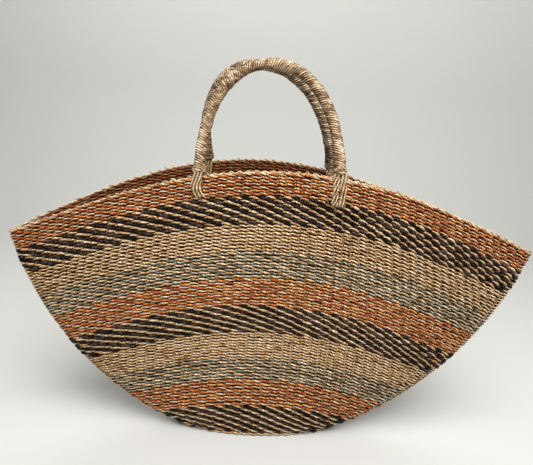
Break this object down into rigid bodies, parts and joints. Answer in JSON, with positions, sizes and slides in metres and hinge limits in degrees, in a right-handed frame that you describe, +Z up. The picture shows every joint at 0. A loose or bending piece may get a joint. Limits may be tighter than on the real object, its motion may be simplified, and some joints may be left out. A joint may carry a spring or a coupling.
{
  "type": "beach basket",
  "caption": "Boat-shaped beach basket twined from sisal in horizontal stripes, with a pair of wrapped arched grips that swing outward from the rim.",
  "frame": {"origin": "on the ground, under the middle of the rim", "axes": "+X to the right along the basket, +Y to the back, +Z up"},
  "size_m": [0.6313, 0.1218, 0.4589],
  "materials": {
    "natural": "undyed sisal twine, matte",
    "rust": "rust-orange dyed sisal twine, matte",
    "dark_brown": "dark brown dyed sisal twine, matte",
    "sage": "grey-green dyed sisal twine, matte",
    "straw_twine": "twisted straw-coloured twine, matte"
  },
  "bodies": {
    "body": {"base_mat": "natural", "warp_spokes": "natural", "weft_band_01_rust": "rust", "weft_band_02_dark": "dark_brown", "weft_band_03_natural": "natural", "weft_band_04_sage": "sage", "weft_band_05_rust": "rust", "weft_band_06_dark": "dark_brown", "weft_band_07_natural": "natural", "weft_band_08_sage": "sage", "weft_band_09_rust": "rust", "weft_band_10_dark": "dark_brown", "rim_border": "natural", "front_left_cord_1": "straw_twine", "front_left_cord_2": "straw_twine", "front_left_cord_3": "straw_twine", "front_right_cord_1": "straw_twine", "front_right_cord_2": "straw_twine", "front_right_cord_3": "straw_twine", "front_right_cord_4": "straw_twine", "back_left_cord_1": "straw_twine", "back_left_cord_2": "straw_twine", "back_left_cord_3": "straw_twine", "back_right_cord_1": "straw_twine", "back_right_cord_2": "straw_twine", "back_right_cord_3": "straw_twine"},
    "front_grip": {"front_grip_core": "natural", "front_grip_wrap": "straw_twine"},
    "back_grip": {"back_grip_core": "natural", "back_grip_wrap": "straw_twine"}
  },
  "joints": [
    {"name": "front_grip_swing", "type": "hinge", "parent": "body", "child": "front_grip", "pos_m": [-0.00458, -0.06187, 0.34196], "axis": [0.9996, -0.0054, 0.026], "range_deg": [0, 185]},
    {"name": "back_grip_swing", "type": "hinge", "parent": "body", "child": "back_grip", "pos_m": [-0.00493, 0.06155, 0.34159], "axis": [-0.9994, -0.0059, 0.0348], "range_deg": [0, 185]}
  ]
}
